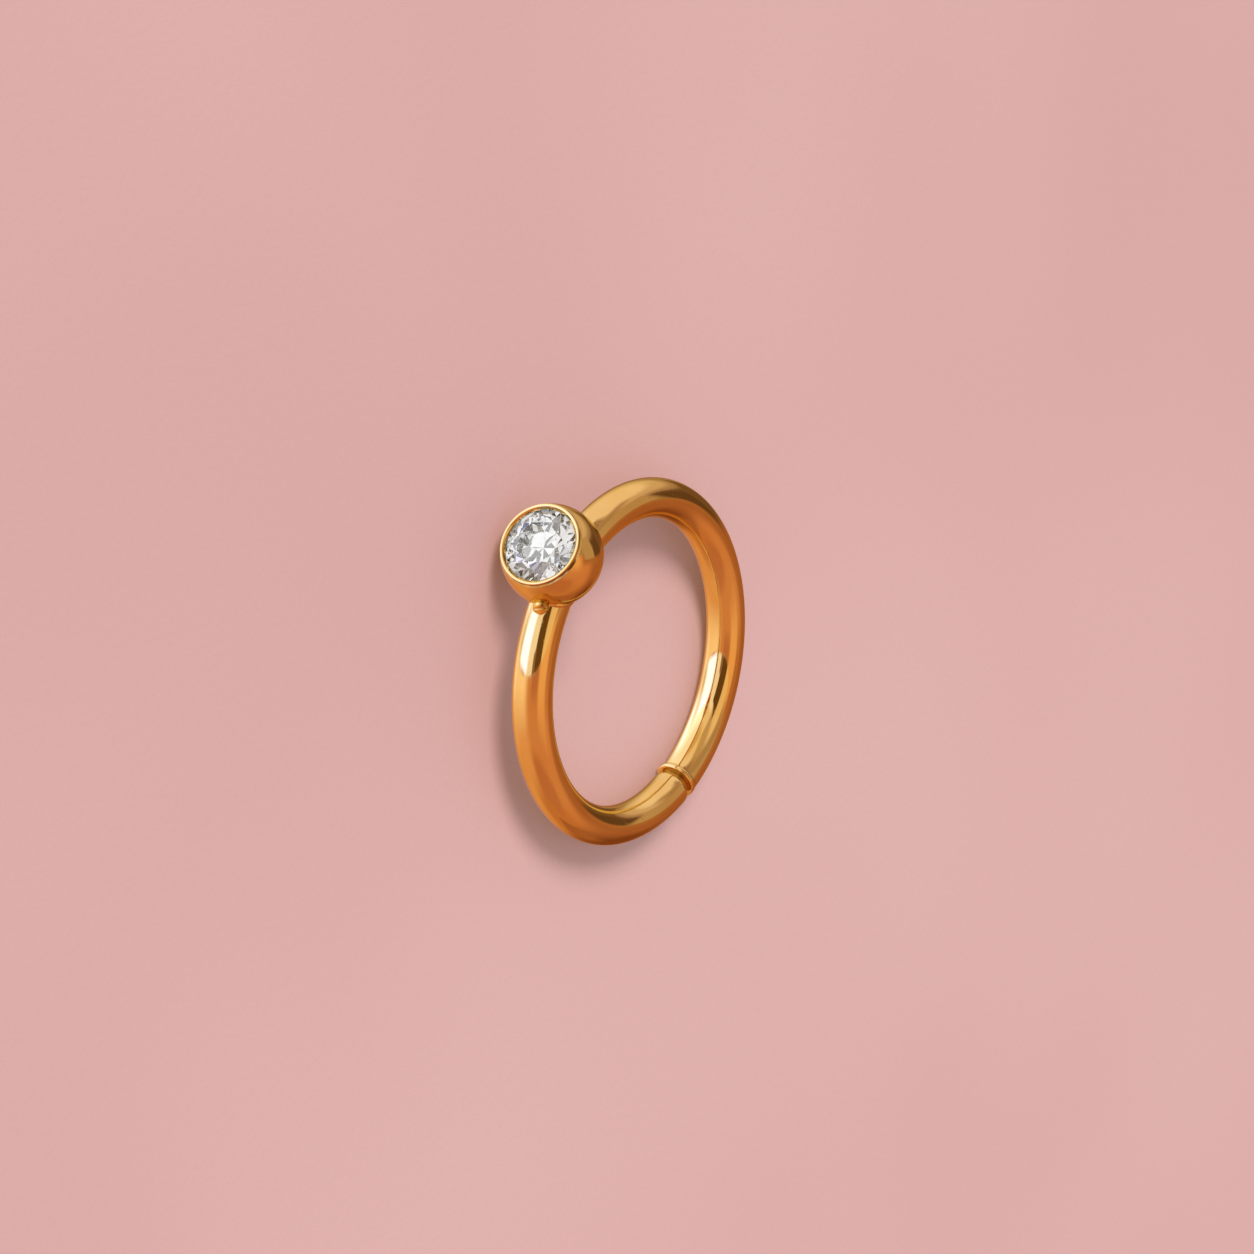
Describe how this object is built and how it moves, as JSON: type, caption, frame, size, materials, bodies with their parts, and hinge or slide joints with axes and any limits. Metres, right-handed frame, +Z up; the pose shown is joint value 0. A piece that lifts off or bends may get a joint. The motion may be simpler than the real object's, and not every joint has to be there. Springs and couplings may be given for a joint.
{
  "type": "hoop nose pin",
  "caption": "Slim gold hoop nose pin: round wire with a bead-shaped bezel that holds a round brilliant stone, split opposite and closed by a thin post in a socket.",
  "frame": {"origin": "centre of the bounding box's bottom face, on the surface that the pin lies on", "axes": "+Z up from the surface the pin lies on, close to the hoop's axis; the bezel and its stone face -Y; the split is on the +Y side"},
  "size_m": [0.0102, 0.0114, 0.0028],
  "materials": {
    "gold": "high-polish yellow gold, 14 carat",
    "stone": "clear, colourless, faceted and polished"
  },
  "bodies": {
    "root": {"hoop_with_bezel": "gold", "stone": "stone"}
  },
  "joints": []
}
